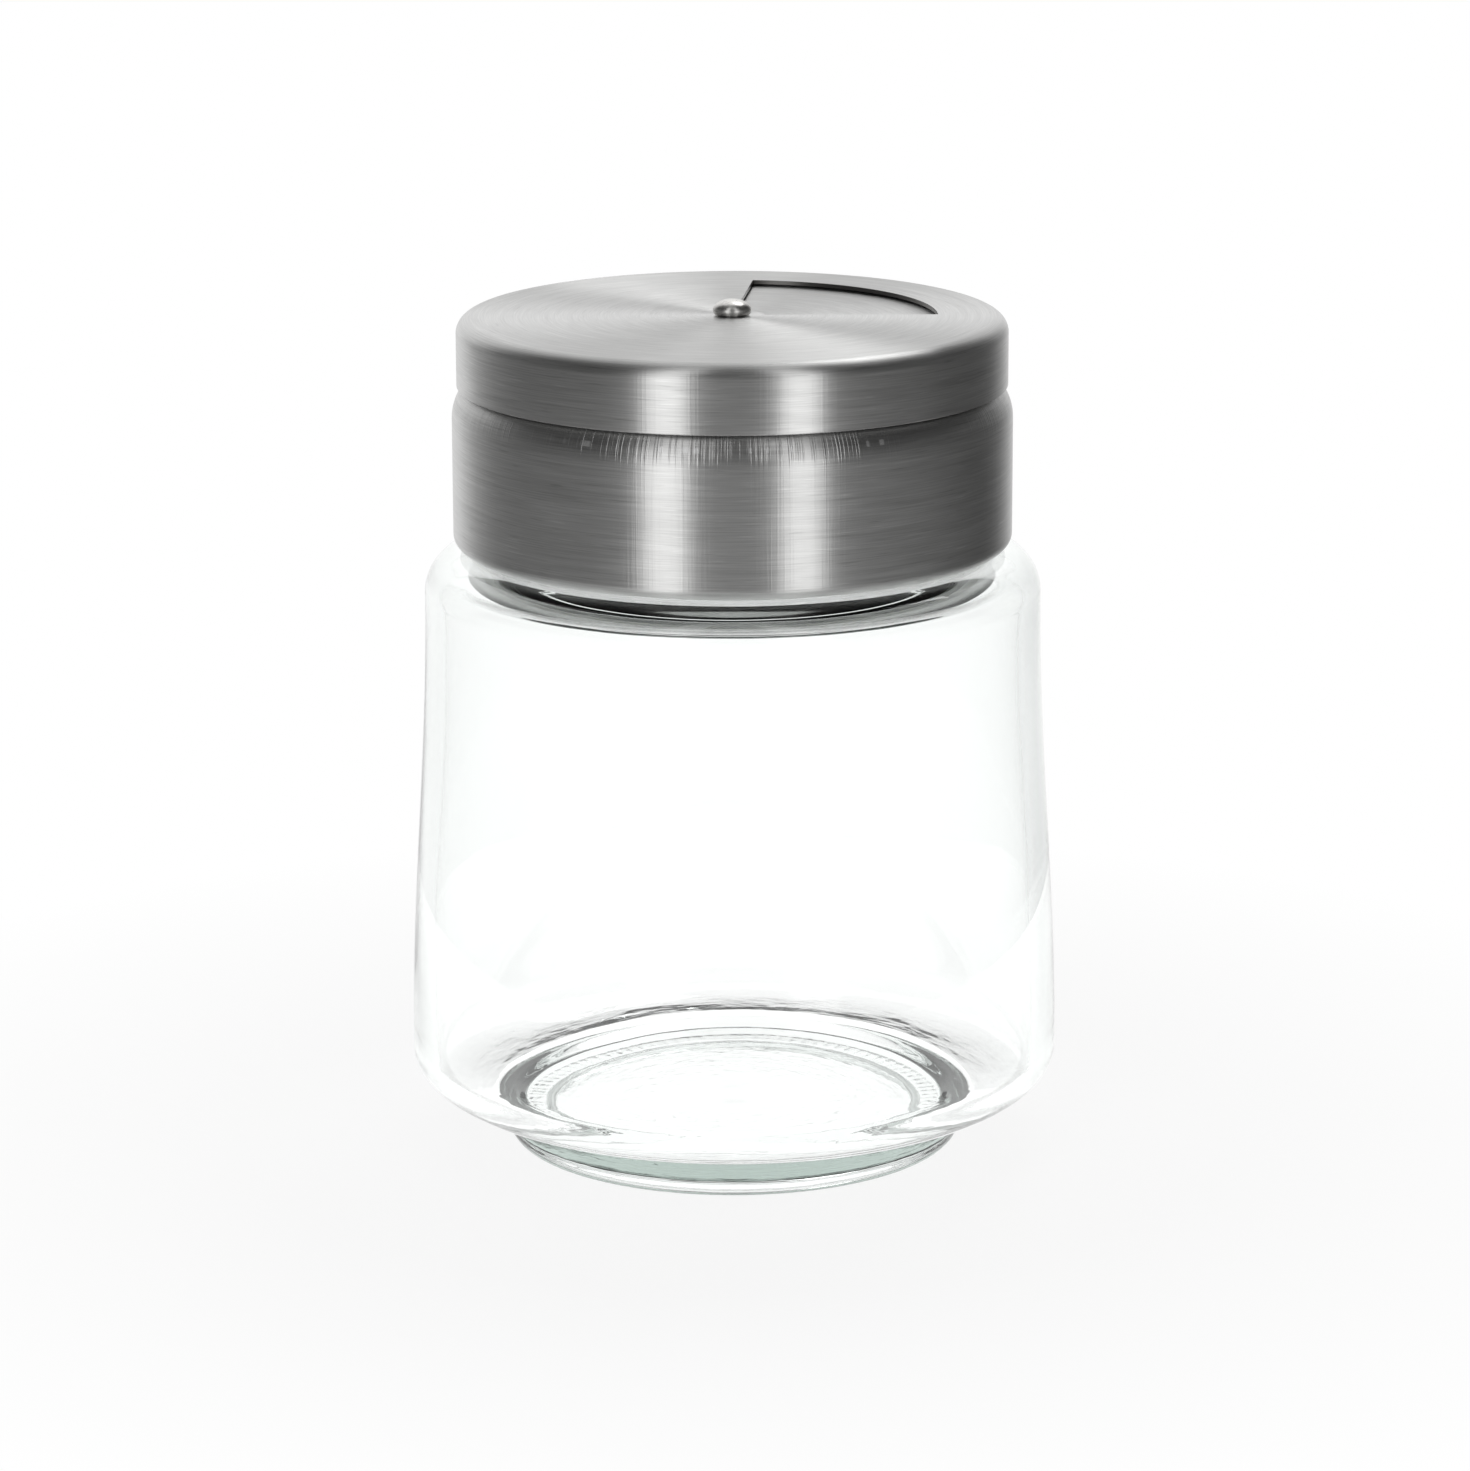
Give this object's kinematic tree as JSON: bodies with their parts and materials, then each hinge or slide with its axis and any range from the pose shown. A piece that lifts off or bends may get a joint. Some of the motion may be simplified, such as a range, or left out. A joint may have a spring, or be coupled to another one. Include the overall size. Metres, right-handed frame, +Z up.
{
  "type": "spice shaker",
  "caption": "Round glass spice shaker with a screw-on steel cap and a turning steel dial whose sector window opens on fine holes, coarse holes, a pour opening or a plain closed quarter.",
  "frame": {"origin": "on the surface the jar stands on, under the middle of the foot", "axes": "+Z up along the axis of jar, cap and dial; +Y away from the viewer of the picture, +X to the viewer's right"},
  "size_m": [0.065, 0.065, 0.0856],
  "materials": {
    "glass": "clear, faint green in the thick places",
    "brushed_steel": "circular brushed",
    "polished_steel": "polished",
    "spring_steel": "bright rolled",
    "insert_plastic": "moulded, natural milky",
    "seal": "soft, matt"
  },
  "bodies": {
    "jar": {"glass_jar": "glass"},
    "seal": {"sealing_ring": "seal"},
    "lid": {"cap_shell": "brushed_steel", "cap_insert": "insert_plastic", "centre_rivet": "polished_steel", "rivet_washer": "polished_steel", "spring_washer": "spring_steel"},
    "dial": {"shaker_dial": "brushed_steel"}
  },
  "joints": [
    {"name": "lid_rise", "type": "slide", "parent": "jar", "child": "seal", "axis": [0, 0, 1], "range_m": [0, 0.005]},
    {"name": "lid_turn", "type": "hinge", "parent": "seal", "child": "lid", "pos_m": [0, 0, 0.0612], "axis": [0, 0, 1], "range_deg": [0, 450]},
    {"name": "dial_turn", "type": "hinge", "parent": "lid", "child": "dial", "pos_m": [0, 0, 0.08395], "axis": [0, 0, 1], "continuous": true}
  ],
  "couplings": [
    {"joint": "lid_rise", "follows": "lid_turn", "m_per_rad": 0.00063662}
  ]
}
